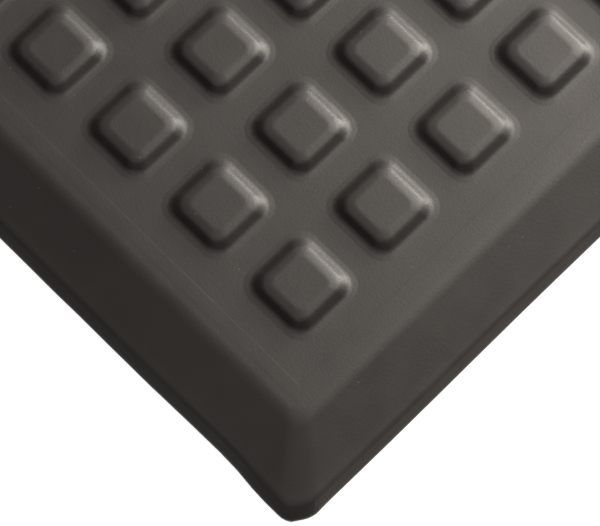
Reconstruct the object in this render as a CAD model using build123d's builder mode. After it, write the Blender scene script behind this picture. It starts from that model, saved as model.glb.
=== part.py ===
from build123d import *
import os

# Anti-fatigue floor mat, 36 x 24 inches, with soft square pads and a ramped edge.
#
# A moulded rubber skin carries the pads and the ramps, and wraps down over the edges. Under it
# lie a closed-cell sponge core, which rises into every pad, and four firmer rubber edge strips,
# mitred at the corners, which hold the ramps up. A rubber base sheet closes the underside. All
# of them are vulcanised into one soft mat, so nothing moves.
#
# Frame: +X along the length, +Y across the width, +Z up. The origin is on the floor, under
# the middle of the mat. Millimetres.

# Driving dimensions
mat_length = 914.4
mat_width = 609.6
corner_radius = 8.2
body_height = 12.7
pad_height = 3.2
pads_long = 22
pads_wide = 14
pad_pitch = 38.25
pad_side = 26.6  # across the foot of a pad
pad_corner_radius = 5.8
pad_lean = 3.9  # how far a pad's side leans in over its height

ramp_run = 22.9
ramp_foot_height = 3.5  # the ramp's line, carried on to the outline
lip_run = 3.4  # the steeper lip below the ramp
lip_foot_height = 1.9  # where the lip meets the upright outer edge
crest_radius = 13.5  # soft turn from the flat top into the ramp

base_thickness = 1.5
skin_thickness = 2.0
rim_width = 6.5  # the skin is solid rubber from the outline in to here
core_top_inset = 31.9  # outline to the slanting joint of core and edge strips, at its top
core_foot_inset = 26.0  # and at its foot
stud_gap = 0.3  # between a sponge stud and the inside of its pad

# Worked out from them
core_top = body_height - skin_thickness
ramp_slope = (body_height - ramp_foot_height) / ramp_run
pad_taper = Vector(pad_height, pad_lean).get_angle(Vector(1, 0))
core_lean = core_top_inset - core_foot_inset
core_taper = Vector(core_top - base_thickness, core_lean).get_angle(Vector(1, 0))

# The skin is as thick at right angles on the slopes as it is on the flats. Under the ramp it
# therefore hangs lower, and inside a pad it stands a little further in at the foot.
skin_drop = skin_thickness * (1 + ramp_slope**2) ** 0.5
rim_wall_top = ramp_foot_height - skin_drop + ramp_slope * rim_width
crest_inset = (core_top - ramp_foot_height + skin_drop) / ramp_slope
pad_slant = (pad_height**2 + pad_lean**2) ** 0.5
pad_inset = skin_thickness * (pad_slant - pad_lean) / pad_height

# Half-sections of the mat's edge, as (distance in from the outline, height)
outer_edge = [
    (0, base_thickness),
    (0, lip_foot_height),
    (lip_run, ramp_foot_height + ramp_slope * lip_run),
    (ramp_run, body_height),
]
cavity_edge = [
    (rim_width, base_thickness),
    (rim_width, rim_wall_top),
    (crest_inset, core_top),
]
strip_edge = [
    (core_foot_inset, base_thickness),
    (core_top_inset, core_top),
]


def whole_section(half_section, span):
    """A half-section of the edge, mirrored into the whole section of a span."""
    near_side = [(inset - span / 2, height) for inset, height in half_section]
    far_side = [(span / 2 - inset, height) for inset, height in reversed(half_section)]
    return near_side + far_side


os.makedirs("parts", exist_ok=True)

# One pad's outer form, the matching hollow on the skin's underside, and the sponge stud that
# fills that hollow.
with BuildPart() as pad_form:
    with BuildSketch(Plane.XY.offset(body_height)):
        RectangleRounded(pad_side, pad_side, pad_corner_radius)
    extrude(amount=pad_height, taper=pad_taper)

with BuildPart() as pad_hollow:
    hollow_side = pad_side - 2 * pad_inset
    with BuildSketch(Plane.XY.offset(core_top)):
        RectangleRounded(hollow_side, hollow_side, pad_corner_radius - pad_inset)
    extrude(amount=pad_height, taper=pad_taper)

with BuildPart() as stud_form:
    stud_side = hollow_side - 2 * stud_gap
    with BuildSketch(Plane.XY.offset(core_top)):
        RectangleRounded(stud_side, stud_side, pad_corner_radius - pad_inset - stud_gap)
    extrude(amount=pad_height - stud_gap, taper=pad_taper)

# The space under the skin for the core and the edge strips. Its lengthwise and crosswise
# sections meet in mitres at the corners.
with BuildPart() as cavity:
    with BuildSketch(Plane.YZ):
        Polygon(*whole_section(cavity_edge, mat_width), align=None)
    extrude(amount=mat_length / 2, both=True)
    with BuildSketch(Plane.XZ):
        Polygon(*whole_section(cavity_edge, mat_length), align=None)
    extrude(amount=mat_width / 2, both=True, mode=Mode.INTERSECT)

# Wear surface: made like the cavity, to the outer sections, with rounded corners in plan. The
# cavity is cut from it, then the pads and their hollows are made.
with BuildPart() as wear_surface:
    with BuildSketch(Plane.YZ):
        Polygon(*whole_section(outer_edge, mat_width), align=None)
    extrude(amount=mat_length / 2, both=True)
    with BuildSketch(Plane.XZ):
        Polygon(*whole_section(outer_edge, mat_length), align=None)
    extrude(amount=mat_width / 2, both=True, mode=Mode.INTERSECT)
    with BuildSketch(Plane.XY):
        RectangleRounded(mat_length, mat_width, corner_radius)
    extrude(amount=body_height, mode=Mode.INTERSECT)
    fillet(wear_surface.faces().sort_by(Axis.Z)[-1].edges(), crest_radius)

    add(cavity.part, mode=Mode.SUBTRACT)
    with GridLocations(pad_pitch, pad_pitch, pads_long, pads_wide):
        add(pad_form.part)
    with GridLocations(pad_pitch, pad_pitch, pads_long, pads_wide):
        add(pad_hollow.part, mode=Mode.SUBTRACT)
wear_surface.part.label = "wear_surface"
export_step(wear_surface.part, "parts/wear_surface.step")

# Foam core: a slab whose edges lean in as they rise, with one stud for every pad.
with BuildPart() as foam_core:
    with BuildSketch(Plane.XY.offset(base_thickness)):
        Rectangle(mat_length - 2 * core_foot_inset, mat_width - 2 * core_foot_inset)
    extrude(amount=core_top - base_thickness, taper=core_taper)
    with GridLocations(pad_pitch, pad_pitch, pads_long, pads_wide):
        add(stud_form.part)
foam_core.part.label = "foam_core"
export_step(foam_core.part, "parts/foam_core.step")


# Edge strips: one wedge along each side, run the length of the side and mitred at both ends.
def edge_strip(run, span, turn):
    """The strip along the near side, turned about the mat's middle to its own side."""
    along = Vector(1, 0, 0).rotate(Axis.Z, turn)
    inward = Vector(0, 1, 0).rotate(Axis.Z, turn)
    middle = inward * (-span / 2)
    with BuildPart() as strip:
        with BuildSketch(Plane(origin=middle, x_dir=inward, z_dir=along)):
            with BuildLine():
                Polyline(*cavity_edge, *reversed(strip_edge), close=True)
            make_face()
        extrude(amount=run / 2, both=True)
        for end in (-1, 1):
            corner = middle + along * (end * run / 2)
            split(bisect_by=Plane(origin=corner, z_dir=along * -end - inward), keep=Keep.TOP)
    return strip.part


strip_sides = {
    "edge_strip_front": (mat_length, mat_width, 0),
    "edge_strip_right": (mat_width, mat_length, 90),
    "edge_strip_back": (mat_length, mat_width, 180),
    "edge_strip_left": (mat_width, mat_length, 270),
}
for name, (run, span, turn) in strip_sides.items():
    strip = edge_strip(run, span, turn)
    strip.label = name
    export_step(strip, f"parts/{name}.step")
    print(name, round(strip.volume), strip.bounding_box())

# Base sheet: the flat underside, to the full outline.
with BuildPart() as base_sheet:
    with BuildSketch():
        RectangleRounded(mat_length, mat_width, corner_radius)
    extrude(amount=base_thickness)
base_sheet.part.label = "base_sheet"
export_step(base_sheet.part, "parts/base_sheet.step")

end_margin = (mat_length - (pads_long - 1) * pad_pitch) / 2
side_margin = (mat_width - (pads_wide - 1) * pad_pitch) / 2
print("outline to middle of outer pads", round(end_margin, 2), round(side_margin, 2))
for piece in (wear_surface, foam_core, base_sheet):
    print(piece.part.label, round(piece.part.volume), piece.part.bounding_box())
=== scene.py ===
"""Anti-fatigue floor mat: the looks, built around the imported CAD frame.

The mesh code works in millimetres, like the CAD, and make_piece() turns them into Blender's
metres. The mat lies on the floor with its length along X, and its underside is at z = 0.
"""

import math

import bmesh
import bpy
import numpy as np
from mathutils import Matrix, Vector


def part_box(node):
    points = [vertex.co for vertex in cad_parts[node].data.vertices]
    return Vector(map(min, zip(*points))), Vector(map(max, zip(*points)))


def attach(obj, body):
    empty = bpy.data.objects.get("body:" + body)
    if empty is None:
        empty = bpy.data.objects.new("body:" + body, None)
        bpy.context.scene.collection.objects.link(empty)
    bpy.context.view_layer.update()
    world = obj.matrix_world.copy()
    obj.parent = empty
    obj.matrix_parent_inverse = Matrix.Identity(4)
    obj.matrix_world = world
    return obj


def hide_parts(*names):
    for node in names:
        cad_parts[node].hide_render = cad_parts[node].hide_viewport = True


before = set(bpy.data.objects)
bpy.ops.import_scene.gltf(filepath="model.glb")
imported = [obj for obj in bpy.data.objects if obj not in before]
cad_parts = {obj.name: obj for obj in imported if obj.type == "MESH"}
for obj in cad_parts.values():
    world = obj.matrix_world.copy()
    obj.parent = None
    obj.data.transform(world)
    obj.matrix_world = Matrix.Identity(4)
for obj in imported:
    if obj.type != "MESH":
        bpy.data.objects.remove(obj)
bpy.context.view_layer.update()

MM = 0.001

# ---------------------------------------------------------------- sizes, in millimetres

# Read from the frame
half_length, half_width, base_top = (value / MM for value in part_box("base_sheet")[1])
pad_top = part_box("wear_surface")[1][2] / MM
core_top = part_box("edge_strip_front")[1][2] / MM
rim_width = half_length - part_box("edge_strip_front")[1][0] / MM
core_half_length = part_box("foam_core")[1][0] / MM
core_half_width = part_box("foam_core")[1][1] / MM
stud_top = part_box("foam_core")[1][2] / MM

# The same as in the CAD
pads_long = 22
pads_wide = 14
pad_pitch = 38.25
pad_height = 3.2
pad_half = 13.3  # middle of a pad to its foot
pad_corner_radius = 5.8
pad_lean = 3.9
ramp_run = 22.9
ramp_foot_height = 3.5  # the ramp's line, carried on to the outline
lip_run = 3.4
lip_foot_height = 1.9
crest_radius = 13.5
skin_thickness = 2.0
core_lean = 5.9

field = pad_top - pad_height
cell_half = pad_pitch / 2
cells_half_length = pads_long * cell_half
cells_half_width = pads_wide * cell_half
pad_slope = math.atan2(pad_height, pad_lean)
pad_inset = skin_thickness * (math.hypot(pad_height, pad_lean) - pad_lean) / pad_height
ramp_slope = math.atan2(field - ramp_foot_height, ramp_run)
lip_top = ramp_foot_height + lip_run * math.tan(ramp_slope)
lip_slope = math.atan2(lip_top - lip_foot_height, lip_run)

pad_centres = [
    ((column - (pads_long - 1) / 2) * pad_pitch, (row - (pads_wide - 1) / 2) * pad_pitch)
    for row in range(pads_wide)
    for column in range(pads_long)
]

# ---------------------------------------------------------------- mesh making


class Surface:
    """Points and faces, in millimetres. Points that meet are welded when the piece is made."""

    def __init__(self):
        self.points = []
        self.faces = []

    def ring(self, points):
        """Adds a closed ring of points and returns their numbers."""
        first = len(self.points)
        self.points.extend(tuple(map(float, point)) for point in points)
        return list(range(first, len(self.points)))

    def band(self, outer, inner):
        """Joins two rings of the same count with four-sided faces."""
        for here in range(len(outer)):
            there = (here + 1) % len(outer)
            self.faces.append((outer[here], outer[there], inner[there], inner[here]))

    def rings(self, rings):
        """Joins each ring to the next, and returns the last."""
        for outer, inner in zip(rings, rings[1:]):
            self.band(outer, inner)
        return rings[-1]

    def close_between(self, outer, outer_corners, inner):
        """Fills the flat frame between a ring and a four-cornered one beside it, one face a side."""
        for corner in range(4):
            start, end = outer_corners[corner - 1], outer_corners[corner]
            side = outer[start : end + 1] if start < end else outer[start:] + outer[: end + 1]
            self.faces.append(tuple(side) + (inner[corner], inner[corner - 1]))

    def repeat(self, centres):
        """Puts a copy of everything so far round each centre."""
        points, faces = self.points, self.faces
        self.points, self.faces = [], []
        for x, y in centres:
            first = len(self.points)
            self.points.extend((px + x, py + y, pz) for px, py, pz in points)
            self.faces.extend(tuple(first + number for number in face) for face in faces)


weld_distance = 0.002  # points closer together than this are one
crease_angle = math.radians(60)  # an edge that turns more than this stays sharp


def make_piece(name, surface, material):
    """A smooth-shaded Blender object from a Surface, riding on the mat's one body."""
    mesh = bpy.data.meshes.new(name)
    in_metres = [tuple(MM * value for value in point) for point in surface.points]
    mesh.from_pydata(in_metres, [], surface.faces)
    shape = bmesh.new()
    shape.from_mesh(mesh)
    bmesh.ops.remove_doubles(shape, verts=shape.verts, dist=weld_distance * MM)
    bmesh.ops.recalc_face_normals(shape, faces=shape.faces)
    for edge in shape.edges:
        edge.smooth = edge.calc_face_angle(0.0) < crease_angle
    for face in shape.faces:
        face.smooth = True
    shape.to_mesh(mesh)
    shape.free()
    piece = bpy.data.objects.new(name, mesh)
    bpy.context.scene.collection.objects.link(piece)
    piece.data.materials.append(material)
    shading = piece.modifiers.new("shading", "WEIGHTED_NORMAL")
    shading.keep_sharp = True
    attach(piece, "root")
    return piece


corner_tightening = 0.5  # how much a pad's corner radius shrinks for each millimetre in from its foot
cell_arc_centre = pad_half - pad_corner_radius  # where the rays that a cell's border follows start


def pad_ring(half, z, steps, radius=None, carried_to_square=False):
    """A square ring with rounded corners about the pad's middle, at half its width and a height.

    The corners are rounder in the rings further out, unless a radius is given. A ring that is
    carried to a square has its points on the same rays, but its corners are square.
    """
    if radius is None:
        radius = pad_corner_radius + corner_tightening * (half - pad_half)
    arc_centre = cell_arc_centre if carried_to_square else half - radius
    quarter = np.repeat(np.arange(4), steps + 1)
    angle = np.radians(90 * quarter + np.tile(np.linspace(0, 90, steps + 1), 4))
    ray = np.column_stack([np.cos(angle), np.sin(angle)])
    if carried_to_square:
        ray /= np.abs(ray).max(axis=1)[:, None]
    middle = arc_centre * np.array([(1, 1), (-1, 1), (-1, -1), (1, -1)])[quarter]
    flat = middle + (half - arc_centre) * ray
    return np.column_stack([flat, np.full(len(flat), z)])


same_place_digits = 6  # places along a border that agree to this many digits are one point


def square_steps(count, steps):
    """Where the points of pad_ring()'s squares fall along one side of a row of cells."""
    turn = np.radians(np.linspace(0, 45, steps // 2 + 1))
    half_side = cell_arc_centre + (cell_half - cell_arc_centre) * np.tan(turn)
    side = np.concatenate([-half_side[::-1], half_side])
    middles = (np.arange(count) - (count - 1) / 2) * pad_pitch
    return np.unique(np.round((middles[:, None] + side).ravel(), same_place_digits))


def smooth_step(value, start, end):
    """0 up to start, 1 from end on, and a smooth rise between."""
    share = min(max((value - start) / (end - start), 0.0), 1.0)
    return share * share * (3 - 2 * share)


LEG_STEPS = 5
CORNER_STEPS = 8
leg_crowding = 1.6  # above 1, a leg's points are closer together near the curve


def outline_ring(out_x, out_y, z, radius, steps):
    """One turn round the mat at these half sizes, with a point for each point of the cells' border.

    Round each corner it has LEG_STEPS points on to where the curve starts, CORNER_STEPS round the
    curve, and one fewer than LEG_STEPS back to the next row of cells.
    """
    cells = {0: cells_half_width, 1: cells_half_length}
    points = []
    for quarter in range(4):
        normal = Vector((round(math.cos(quarter * math.pi / 2)), round(math.sin(quarter * math.pi / 2))))
        along = Vector((-normal.y, normal.x))
        out, reach = (out_x, out_y) if quarter % 2 == 0 else (out_y, out_x)
        cell_end, next_cell_end = cells[quarter % 2], cells[1 - quarter % 2]
        side = [normal * out + along * s for s in steps[quarter % 2]]
        # Each of a leg's points is this share of the leg away from the curve.
        leg_shares = [(1 - k / LEG_STEPS) ** leg_crowding for k in range(1, LEG_STEPS + 1)]
        back_shares = [(k / LEG_STEPS) ** leg_crowding for k in range(1, LEG_STEPS)]
        curve_reach, curve_out = reach - radius, out - radius
        leg = [
            normal * out + along * (curve_reach - (curve_reach - cell_end) * share)
            for share in leg_shares
        ]
        back = [
            normal * (curve_out - (curve_out - next_cell_end) * share) + along * reach
            for share in back_shares
        ]
        turns = [math.pi / 2 * k / CORNER_STEPS for k in range(1, CORNER_STEPS + 1)]
        centre = normal * curve_out + along * curve_reach
        curve = [
            centre + normal * radius * math.cos(turn) + along * radius * math.sin(turn)
            for turn in turns
        ]
        points += side + leg + curve + back
    return [(point.x, point.y, z) for point in points]


end_lip_spare = 0.4  # how much narrower the lip is at the mat's two ends
end_lip_fade = 10.0  # distance in from the outline where that has died out


def edge_ring(inset, z, radius, steps):
    """outline_ring() at a distance in from the mat's outline."""
    fade = smooth_step(inset, 0.0, lip_run) * (1 - smooth_step(inset, lip_run, end_lip_fade))
    out_x = half_length - inset + end_lip_spare * fade
    return outline_ring(out_x, half_width - inset, z, radius, steps)


def corner_numbers(steps):
    """Which of an outline_ring()'s points are the middles of its corners."""
    numbers = []
    start = 0
    for quarter in range(4):
        side = len(steps[quarter % 2])
        numbers.append(start + side + LEG_STEPS + CORNER_STEPS // 2 - 1)
        start += side + 2 * LEG_STEPS + CORNER_STEPS - 1
    return numbers


def cells_border(z, steps):
    """The outer edge of all the cells as a ring of points, and which of them are its corners."""
    up_side, along_side = square_steps(pads_wide, steps), square_steps(pads_long, steps)
    x, y = cells_half_length, cells_half_width
    sides = [
        [(x, step, z) for step in up_side[:-1]],
        [(-step, y, z) for step in along_side[:-1]],
        [(-x, -step, z) for step in up_side[:-1]],
        [(step, -y, z) for step in along_side[:-1]],
    ]
    counts = [len(side) for side in sides]
    corners = [sum(counts[: quarter + 1]) % sum(counts) for quarter in range(4)]
    return sum(sides, []), corners


def rectangle(half_x, half_y, z):
    """A four-cornered ring, its corners in the order of outline_ring()'s."""
    return [(half_x, half_y, z), (-half_x, half_y, z), (-half_x, -half_y, z), (half_x, -half_y, z)]


# ---------------------------------------------------------------- wear surface

PAD_STEPS = 4  # faces round each corner of a pad
HOLLOW_STEPS = 2  # and of the hollow under it
# Half-widths of a pad, from its middle
flat_half = 6.6  # to where its flat top ends
flat_edge_radius = 7.0
shoulder_half = 9.3  # to where its side starts to fall steeply
shoulder_slope = math.radians(11)
side_slope = math.radians(43)
foot_half = 13.9  # to the end of the fillet at its foot
foot_radius = 3.0
# A faint skirt that every pad stands on, as (half-width, height)
skirt = ((foot_half, 0.136), (15.1, 0.063), (15.5, 0.0))
skirt_slope = math.radians(3.5)
# A faint raised band round the top, as (distance in from the outline, share of its height)
raised_band = ((32.5, 0), (32.1, 0.5), (31.7, 1), (28.2, 1), (27.45, 0.5), (26.7, 0))
band_height = 0.045


def arc(centre, radius, start, end, count):
    """Points round an arc that bulges up, given by the slope of its surface where it starts and ends."""
    for k in range(count):
        turn = start + (end - start) * k / (count - 1)
        yield centre[0] + radius * math.sin(turn), centre[1] + radius * math.cos(turn)


def pad_profile():
    """(half-width, height) down from a pad's flat top: shoulder, steep side, fillet, skirt."""
    flat_edge = list(arc((flat_half, pad_top - flat_edge_radius), flat_edge_radius, 0, shoulder_slope, 2))
    shoulder_fall = (shoulder_half - flat_edge[-1][0]) * math.tan(shoulder_slope)
    shoulder = shoulder_half, flat_edge[-1][1] - shoulder_fall
    # Foot fillet, from the steep side to the skirt
    fillet_x = foot_half + foot_radius * math.sin(skirt_slope)
    fillet_z = field + skirt[0][1] + foot_radius * math.cos(skirt_slope)
    fillet = [
        (fillet_x - foot_radius * math.sin(turn), fillet_z - foot_radius * math.cos(turn))
        for turn in np.linspace(side_slope, skirt_slope, 4)
    ]
    # The rounding between shoulder and side has the radius that lets the side's straight part
    # run on to the fillet.
    sines = math.sin(side_slope) - math.sin(shoulder_slope)
    cosines = math.cos(shoulder_slope) - math.cos(side_slope)
    run, fall = fillet[0][0] - shoulder[0], shoulder[1] - fillet[0][1]
    radius = (run * math.tan(side_slope) - fall) / (sines * math.tan(side_slope) - cosines)
    centre = (
        shoulder[0] - radius * math.sin(shoulder_slope),
        shoulder[1] - radius * math.cos(shoulder_slope),
    )
    rounding = list(arc(centre, radius, shoulder_slope, side_slope, 4))
    return flat_edge + rounding + fillet + [(half, field + rise) for half, rise in skirt[1:]]


# Plan radii of the mat's corner
lip_corner, crest_corner, flat_corner = 8.3, 5.6, 1.0
# The radius falls from the second to the third between these distances in from the outline.
flat_corner_from, flat_corner_full = ramp_run + 2, 26.2


def soft_mitre(inset):
    """Plan radius of the mat's corner: wide on the lip and the ramp, and tight on the flat top."""
    up_ramp = smooth_step(inset, lip_run, ramp_run)
    past_crest = smooth_step(inset, flat_corner_from, flat_corner_full)
    return lip_corner + (crest_corner - lip_corner) * up_ramp + (flat_corner - crest_corner) * past_crest


flatter_from = lip_run + 3.0  # distance in from the outline where the ramp turns flatter
flatter_by = math.radians(4)
break_radius = 6.0  # where the ramp turns into the lip
foot_round = 0.8  # where the lip turns into the upright edge


def edge_profile():
    """(inset, height) from the flat top out over the ramp and down the lip."""
    for inset, share in raised_band:
        yield inset, field + share * band_height
    crest = ramp_run + crest_radius * math.tan(ramp_slope / 2)
    for across, height in arc((0, field - crest_radius), crest_radius, 0, ramp_slope, 6):
        yield crest - across, height
    # The ramp is straight to a millimetre short of its flatter part.
    straight_end = flatter_from + 1.0
    yield straight_end, ramp_foot_height + straight_end * math.tan(ramp_slope)
    flatter_slope = ramp_slope - flatter_by
    flatter_height = ramp_foot_height + flatter_from * math.tan(ramp_slope)
    # It turns into the lip with a soft edge.
    break_reach = break_radius * math.tan((lip_slope - flatter_slope) / 2)
    ramp_end = lip_run + break_reach * math.cos(flatter_slope)
    ramp_end_height = flatter_height - (flatter_from - ramp_end) * math.tan(flatter_slope)
    break_x = ramp_end + break_radius * math.sin(flatter_slope)
    break_z = ramp_end_height - break_radius * math.cos(flatter_slope)
    for across, height in arc((0, break_z), break_radius, flatter_slope, lip_slope, 4):
        yield break_x - across, height
    # The lip turns into the upright outer edge.
    upright = math.pi / 2 - lip_slope
    foot_z = lip_foot_height - foot_round * math.tan(upright / 2)
    for across, height in arc((0, foot_z), foot_round, lip_slope, math.pi / 2, 4):
        yield foot_round - across, height


def hump(run, height, rise_from, rise_to, fall_from, fall_to):
    """A stretch of a side that stands out, with a smooth rise and fall."""
    return height * smooth_step(run, rise_from, rise_to) * (1 - smooth_step(run, fall_from, fall_to))


def end_wander(run, phase):
    """How far a short side's trimmed edge stands out from true, at this distance from its corner.

    It waves slowly, and bulges a little beside the corner.
    """
    return 0.12 * math.sin(run / 19 - 0.8 + phase) + hump(run, 0.2, 6, 8.5, 9, 11.5)


def side_wander(run, phase):
    """The same for a long side.

    It has a fine unevenness, flares beside the corner and stands out again past the first pads.
    """
    fine = 0.05 * math.sin(run / 9.1 + phase) + 0.04 * math.sin(run / 3.7 + 2 * phase)
    flare = hump(run, 1.25, 1.7, 3.7, 14, 34)
    bow = 0.55 * smooth_step(run, 42, 84)
    return fine - 0.15 + flare + bow


trim_reach = 9.0  # distance in from the outline where the unevenness has died out


def trimmed(points, inset):
    """Lets a ring near the outer edge follow the trimmed outline."""
    share = 1 - smooth_step(inset, 1.0, trim_reach)
    moved = []
    for x, y, z in points:
        from_end, from_side = half_length - abs(x), half_width - abs(y)
        near_end = share * (1 - smooth_step(from_end, 0, trim_reach))
        near_side = share * (1 - smooth_step(from_side, 0, trim_reach))
        out_x = end_wander(from_side, 0 if x > 0 else 2) * near_end
        out_y = side_wander(from_end, 1 if y < 0 else 3) * near_side
        moved.append((x + math.copysign(1, x) * out_x, y + math.copysign(1, y) * out_y, z))
    return moved


def build_wear_surface(material):
    """The skin: padded top, ramps and lip, and the hollow underside that the core fills."""
    surface = Surface()
    rings = [surface.ring(pad_ring(cell_half, field, PAD_STEPS, carried_to_square=True))]
    for half, z in reversed(pad_profile()):
        rings.append(surface.ring(pad_ring(half, z, PAD_STEPS)))
    surface.faces.append(tuple(surface.rings(rings)))

    # The hollow under the pad is a plain taper, one skin further in.
    hollow = [surface.ring(pad_ring(cell_half, core_top, HOLLOW_STEPS, carried_to_square=True))]
    for further_in, rise in ((pad_inset, 0), (pad_inset + pad_lean, pad_height)):
        radius = pad_corner_radius - further_in
        hollow.append(surface.ring(pad_ring(pad_half - further_in, core_top + rise, HOLLOW_STEPS, radius)))
    surface.faces.append(tuple(surface.rings(hollow)))
    surface.repeat(pad_centres)

    steps = (square_steps(pads_wide, PAD_STEPS), square_steps(pads_long, PAD_STEPS))
    border = [surface.ring(outline_ring(cells_half_length, cells_half_width, field, 0.0, steps))]
    for inset, z in edge_profile():
        border.append(surface.ring(trimmed(edge_ring(inset, z, soft_mitre(inset), steps), inset)))
    border.append(surface.ring(trimmed(edge_ring(0.0, base_top, soft_mitre(0.0), steps), 0.0)))
    foot = surface.rings(border)

    # Underneath: the rim's flat foot, its inner wall, the ramp's inner face and the flat ceiling.
    skin_drop = skin_thickness / math.cos(ramp_slope)
    wall_top = ramp_foot_height - skin_drop + math.tan(ramp_slope) * rim_width
    crest_inset = (core_top - ramp_foot_height + skin_drop) / math.tan(ramp_slope)
    wall = half_length - rim_width, half_width - rim_width
    wall_foot = surface.ring(rectangle(*wall, base_top))
    surface.close_between(foot, corner_numbers(steps), wall_foot)
    crest = surface.ring(rectangle(half_length - crest_inset, half_width - crest_inset, core_top))
    surface.rings([wall_foot, surface.ring(rectangle(*wall, wall_top)), crest])
    cells, cell_corners = cells_border(core_top, HOLLOW_STEPS)
    surface.close_between(surface.ring(cells), cell_corners, crest)
    return make_piece("wear_surface_skin", surface, material)


# ---------------------------------------------------------------- foam core

stud_softness = 0.7  # how far a stud's rim is rounded
stud_top_radius = 1.2  # plan radius of a stud's corners at its rim
stud_widening = 0.6  # how much that grows for each millimetre out from the rim


def build_foam_core(material):
    """The sponge slab, with a soft-edged stud for every pad."""
    surface = Surface()
    stud_half = pad_half - pad_inset - (core_top + pad_height - stud_top)
    rim_half = stud_half - (stud_top - core_top) / math.tan(pad_slope)
    rings = [surface.ring(pad_ring(cell_half, core_top, HOLLOW_STEPS, carried_to_square=True))]
    stud = [(stud_half, core_top)]
    for out, down in ((0.8, 1.0), (0.1, 0.25), (-0.7, 0.0)):
        stud.append((rim_half + out * stud_softness, stud_top - down * stud_softness))
    for half, z in stud:
        radius = stud_top_radius + stud_widening * (half - rim_half)
        rings.append(surface.ring(pad_ring(half, z, HOLLOW_STEPS, radius)))
    surface.faces.append(tuple(surface.rings(rings)))
    surface.repeat(pad_centres)
    cells, cell_corners = cells_border(core_top, HOLLOW_STEPS)
    crown = surface.ring(rectangle(core_half_length - core_lean, core_half_width - core_lean, core_top))
    surface.close_between(surface.ring(cells), cell_corners, crown)
    foot = surface.ring(rectangle(core_half_length, core_half_width, base_top))
    surface.band(crown, foot)
    surface.faces.append(tuple(foot))
    return make_piece("foam_core_sponge", surface, material)


# ---------------------------------------------------------------- base sheet

base_ease = 0.35  # how far the sheet's edges are eased


def build_base_sheet(material):
    """The flat rubber sheet that closes the underside, its edges slightly eased."""
    surface = Surface()
    steps = (square_steps(pads_wide, PAD_STEPS), square_steps(pads_long, PAD_STEPS))
    upper_edge = ((base_ease, base_top), (0.05, base_top - base_ease))
    lower_edge = ((0.0, base_ease), (0.1, 0.1), (base_ease, 0.0))
    rings = []
    for inset, z in upper_edge + lower_edge:
        ring = trimmed(edge_ring(inset, z, soft_mitre(0.0) - inset, steps), 0.0)
        rings.append(surface.ring(ring))
    surface.rings(rings)
    surface.faces.append(tuple(rings[0]))
    surface.faces.append(tuple(rings[-1]))
    return make_piece("base_sheet_rubber", surface, material)


# ---------------------------------------------------------------- materials


class Finish:
    """A node material. Each method adds a node and returns its output; inputs are numbers or outputs."""

    def __init__(self, name):
        self.material = bpy.data.materials.new(name)
        self.material.use_nodes = True
        self.tree = self.material.node_tree
        self.shader = self.tree.nodes["Principled BSDF"]
        self.place = self.node("TexCoord", output="Object")

    def node(self, kind, inputs=None, output=0, **settings):
        """Any shader node, with its inputs and settings by name."""
        made = self.tree.nodes.new("ShaderNode" + kind)
        for name, value in settings.items():
            setattr(made, name, value)
        for name, value in (inputs or {}).items():
            self.plug(made.inputs[name], value)
        return made.outputs[output]

    def plug(self, socket, value):
        """Links an output to a socket, or sets the socket to a number or colour."""
        if isinstance(value, bpy.types.NodeSocket):
            self.tree.links.new(value, socket)
        else:
            socket.default_value = value

    def stretched(self, x, y, z):
        """The place in the mat, in metres, squeezed along the axes."""
        return self.node("Mapping", {"Vector": self.place, "Scale": (x, y, z)})

    def noise(self, size, detail=2.0, place=None):
        """Cloudy noise from 0 to 1, with features about this many millimetres across."""
        inputs = {"Vector": place or self.place, "Scale": 1 / (size * MM), "Detail": detail}
        return self.node("TexNoise", inputs, output="Fac")

    def cells(self, size, output="Distance"):
        """Cells about this many millimetres across."""
        inputs = {"Vector": self.place, "Scale": 1 / (size * MM)}
        return self.node("TexVoronoi", inputs, output=output)

    def height(self):
        """The height above the floor, in metres."""
        return self.node("SeparateXYZ", {"Vector": self.place}, output="Z")

    def remap(self, value, low, high, to_low=0.0, to_high=1.0):
        """Carries a range of values to another, and holds them inside it."""
        inputs = {"Value": value, "From Min": low, "From Max": high, "To Min": to_low, "To Max": to_high}
        return self.node("MapRange", inputs)

    def work(self, operation, a, b):
        """A Math node on two numbers."""
        return self.node("Math", {0: a, 1: b}, operation=operation)

    def mix(self, share, colour_a, colour_b):
        """Mixes two colours, given as (r, g, b) or as outputs.

        The Mix node has sockets of the same names for each kind of value, so they go by number
        here. Its colours are inputs 6 and 7 and output 2.
        """
        colours = [
            colour if isinstance(colour, bpy.types.NodeSocket) else (*colour, 1)
            for colour in (colour_a, colour_b)
        ]
        inputs = {0: share, 6: colours[0], 7: colours[1]}
        return self.node("Mix", inputs, output=2, data_type="RGBA")

    def bump(self, height, depth, under=None):
        """Relief this many millimetres deep, over another bump's normal if one is given."""
        inputs = {"Height": height, "Distance": depth * MM, "Strength": 1.0}
        if under is not None:
            inputs["Normal"] = under
        return self.node("Bump", inputs)

    def wear(self, **sockets):
        """Sets the shader's sockets and returns the finished material."""
        for name, value in sockets.items():
            self.plug(self.shader.inputs[name.replace("_", " ").title()], value)
        return self.material


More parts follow.
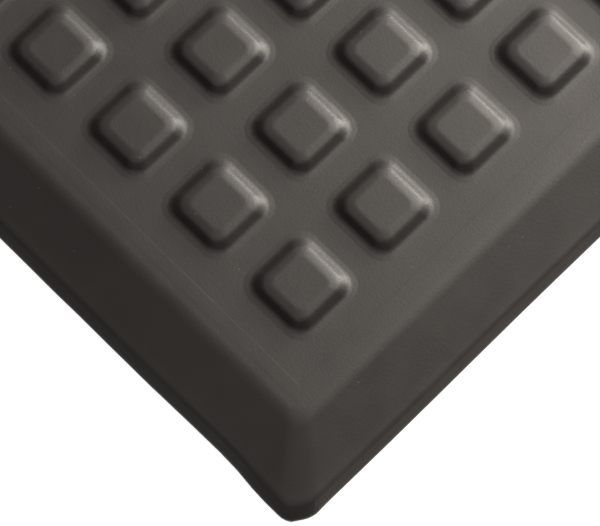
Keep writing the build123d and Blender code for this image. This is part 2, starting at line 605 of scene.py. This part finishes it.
def skin_finish():
    """Matt moulded rubber, warm dark grey, with a fine grain, faint clouding and a few specks of dust."""
    finish = Finish("moulded_skin")
    clouds = finish.remap(finish.noise(46, detail=3), 0.32, 0.68)
    patches = finish.remap(finish.noise(7, detail=4), 0.3, 0.7)
    colour = finish.mix(clouds, (0.0165, 0.0150, 0.0135), (0.0208, 0.0190, 0.0171))
    colour = finish.mix(finish.remap(patches, 0, 1, 0.0, 0.35), colour, (0.0253, 0.0232, 0.0212))
    # Dust: a speck in the middle of a few of the cells
    speck = finish.remap(finish.cells(3.4), 0.045, 0.085, 1.0, 0.0)
    chosen = finish.remap(finish.noise(3.1, detail=0), 0.64, 0.70)
    dust = finish.work("MULTIPLY", speck, chosen)
    colour = finish.mix(finish.remap(dust, 0, 1, 0, 0.6), colour, (0.13, 0.125, 0.12))
    # The pads' tops are polished a little by shoes.
    on_top = finish.remap(finish.height(), (field + 1.8) * MM, (pad_top - 0.2) * MM)
    gloss = finish.remap(finish.noise(12, detail=4), 0.3, 0.7, 0.47, 0.54)
    gloss = finish.work("SUBTRACT", gloss, finish.remap(on_top, 0, 1, 0.0, 0.02))
    gloss = finish.work("ADD", gloss, finish.remap(dust, 0, 1, 0.0, 0.3))
    relief = finish.bump(finish.noise(9, detail=1), 0.02)
    relief = finish.bump(finish.noise(0.9, detail=3), 0.035, under=relief)
    tint = (1.0, 0.94, 0.88, 1)
    return finish.wear(base_color=colour, roughness=gloss, normal=relief, specular_tint=tint)


def sponge_finish():
    """Closed-cell foam: small pitted bubbles with paler walls, and painted shade darkening the hollow of
    each bubble.
    """
    finish = Finish("sponge")
    bubbles = finish.cells(1.3)
    small = finish.cells(0.6)
    depth = finish.work("ADD", finish.remap(bubbles, 0.1, 0.55), finish.remap(small, 0.1, 0.6, 0, 0.5))
    # Painted shade: the colour is darkest at the bottom of each bubble's hollow, where the relief is
    # lowest, and paler up on the walls.
    colour = finish.mix(finish.remap(depth, 0.2, 1.4), (0.018, 0.018, 0.019), (0.052, 0.051, 0.050))
    colour = finish.mix(finish.remap(finish.noise(30), 0.35, 0.65, 0, 0.4), colour, (0.040, 0.039, 0.037))
    gloss = finish.remap(finish.noise(2.0), 0.3, 0.7, 0.82, 0.95)
    return finish.wear(base_color=colour, roughness=gloss, normal=finish.bump(depth, 0.25))


def strip_finish():
    """Firm rubber cut from a sheet: fine streaks, and crumbs of reclaimed rubber."""
    finish = Finish("cut_strip")
    streaks = finish.noise(1.2, detail=3, place=finish.stretched(0.08, 0.08, 1.0))
    crumbs = finish.remap(finish.cells(2.2, output="Color"), 0.0, 1.0)
    colour = finish.mix(finish.remap(streaks, 0.3, 0.7), (0.022, 0.021, 0.020), (0.034, 0.033, 0.031))
    colour = finish.mix(finish.remap(crumbs, 0.7, 1.0, 0.0, 0.5), colour, (0.055, 0.053, 0.050))
    gloss = finish.remap(finish.noise(3, detail=3), 0.3, 0.7, 0.55, 0.72)
    relief = finish.bump(streaks, 0.06)
    relief = finish.bump(finish.noise(0.8), 0.03, under=relief)
    return finish.wear(base_color=colour, roughness=gloss, normal=relief)


def base_finish():
    """Thin rubber sheet with the imprint of the cloth that it was pressed on."""
    finish = Finish("base_sheeting")
    thread = 1.1  # from one thread to the next, in millimetres
    bands = math.pi / (10 * thread * MM)  # a wave texture of scale 1 repeats every pi / 10
    weave = []
    for direction in ("X", "Y"):
        inputs = {"Vector": finish.place, "Scale": bands, "Distortion": 0.4}
        weave.append(finish.node("TexWave", inputs, output="Fac", bands_direction=direction))
    cloth = finish.work("MULTIPLY", weave[0], weave[1])
    clouds = finish.remap(finish.noise(35, detail=3), 0.3, 0.7)
    colour = finish.mix(clouds, (0.026, 0.0245, 0.023), (0.034, 0.032, 0.030))
    colour = finish.mix(finish.remap(cloth, 0, 1, 0.3, 0.0), colour, (0.060, 0.057, 0.053))
    gloss = finish.remap(finish.noise(8, detail=3), 0.3, 0.7, 0.6, 0.74)
    relief = finish.bump(cloth, 0.12)
    relief = finish.bump(finish.noise(0.6), 0.02, under=relief)
    return finish.wear(base_color=colour, roughness=gloss, normal=relief)


# ---------------------------------------------------------------- pieces

skin = build_wear_surface(skin_finish())
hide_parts("wear_surface")

core = build_foam_core(sponge_finish())
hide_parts("foam_core")

base = build_base_sheet(base_finish())
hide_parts("base_sheet")

strip_rubber = strip_finish()
for side in ("front", "right", "back", "left"):
    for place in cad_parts["edge_strip_" + side].material_slots:
        place.material = strip_rubber

# ---------------------------------------------------------------- floor, light, camera

# From here on, lengths are in metres.

scene = bpy.context.scene

# The floor shines like a light table, so that it is as white as the photograph's ground and
# shows no shadow.
floor_half = 4
floor_mesh = bpy.data.meshes.new("floor")
floor_mesh.from_pydata(rectangle(floor_half, floor_half, 0), [], [(0, 1, 2, 3)])
floor = bpy.data.objects.new("floor", floor_mesh)
scene.collection.objects.link(floor)
floor_paint = Finish("floor_paint")
floor_paint.wear(base_color=(0.3, 0.3, 0.3, 1), roughness=0.9)
floor_paint.wear(emission_color=(1, 1, 1, 1), emission_strength=0.95)
floor.data.materials.append(floor_paint.material)


def aimed(location, target):
    """The turn that points a light's or camera's -Z from one place to another, its +Y up."""
    return (Vector(target) - Vector(location)).to_track_quat("-Z", "Y").to_euler()


def direction(azimuth, elevation):
    """The direction at these angles: azimuth from +X towards +Y, and elevation from the floor."""
    level = math.cos(elevation)
    return Vector((level * math.cos(azimuth), level * math.sin(azimuth), math.sin(elevation)))


near_corner = Vector((0.41, -0.26, field * MM))  # on the flat top, by the corner that the photo shows
lamp_distance = 1.2


def softbox(name, azimuth, elevation, size, power):
    """A rectangular area light aimed at the near corner, in degrees, metres and watts."""
    lamp = bpy.data.lights.new(name, "AREA")
    lamp.shape = "RECTANGLE"
    lamp.size, lamp.size_y = size
    lamp.energy = power
    lamp.color = (1.0, 0.97, 0.95)
    thing = bpy.data.objects.new(name, lamp)
    outward = direction(math.radians(azimuth), math.radians(elevation))
    thing.location = near_corner + lamp_distance * outward
    thing.rotation_euler = aimed(thing.location, near_corner)
    scene.collection.objects.link(thing)


# A tall bank of soft light stands beyond the far long side, strongest near the floor. Weak fills
# hang above the mat and behind the camera, and the two ends are dark.
softbox("bank_low", 90, 6, (0.7, 0.5), 29)
softbox("bank_middle", 87, 32, (0.5, 0.5), 8.0)
softbox("bank_high", 89, 49, (0.5, 0.5), 14.8)
softbox("overhead", 80, 70, (0.7, 0.7), 0.6)
softbox("back_fill", 280, 64, (0.7, 0.7), 2.0)

# The surroundings look pale behind the floor, but light the mat hardly at all.
light_from_around = 0.004
brightness_behind_floor = 0.9
world = bpy.data.worlds.new("studio")
world.use_nodes = True
surroundings = world.node_tree.nodes["Background"]
surroundings.inputs["Color"].default_value = (1, 1, 1, 1)
seen_directly = world.node_tree.nodes.new("ShaderNodeLightPath")
strength = world.node_tree.nodes.new("ShaderNodeMapRange")
strength.inputs["To Min"].default_value = light_from_around
strength.inputs["To Max"].default_value = brightness_behind_floor
world.node_tree.links.new(seen_directly.outputs["Is Camera Ray"], strength.inputs["Value"])
world.node_tree.links.new(strength.outputs["Result"], surroundings.inputs["Strength"])
scene.world = world

# The camera is high above the mat's near corner, and looks down along the corner's diagonal.
camera_azimuth, camera_elevation = math.radians(-46.68), math.radians(72.94)
camera_roll = math.radians(1.86)
camera_distance = 1.084
camera_target = Vector((0.3961, -0.2434, field * MM))
camera = bpy.data.objects.new("camera", bpy.data.cameras.new("camera"))
camera.data.sensor_width = 36.0
camera.data.lens = 199.0
camera.location = camera_target + camera_distance * direction(camera_azimuth, camera_elevation)
camera.rotation_euler = aimed(camera.location, camera_target)
camera.rotation_euler.rotate_axis("Z", camera_roll)
scene.collection.objects.link(camera)
scene.camera = camera

scene.view_settings.view_transform = "Standard"
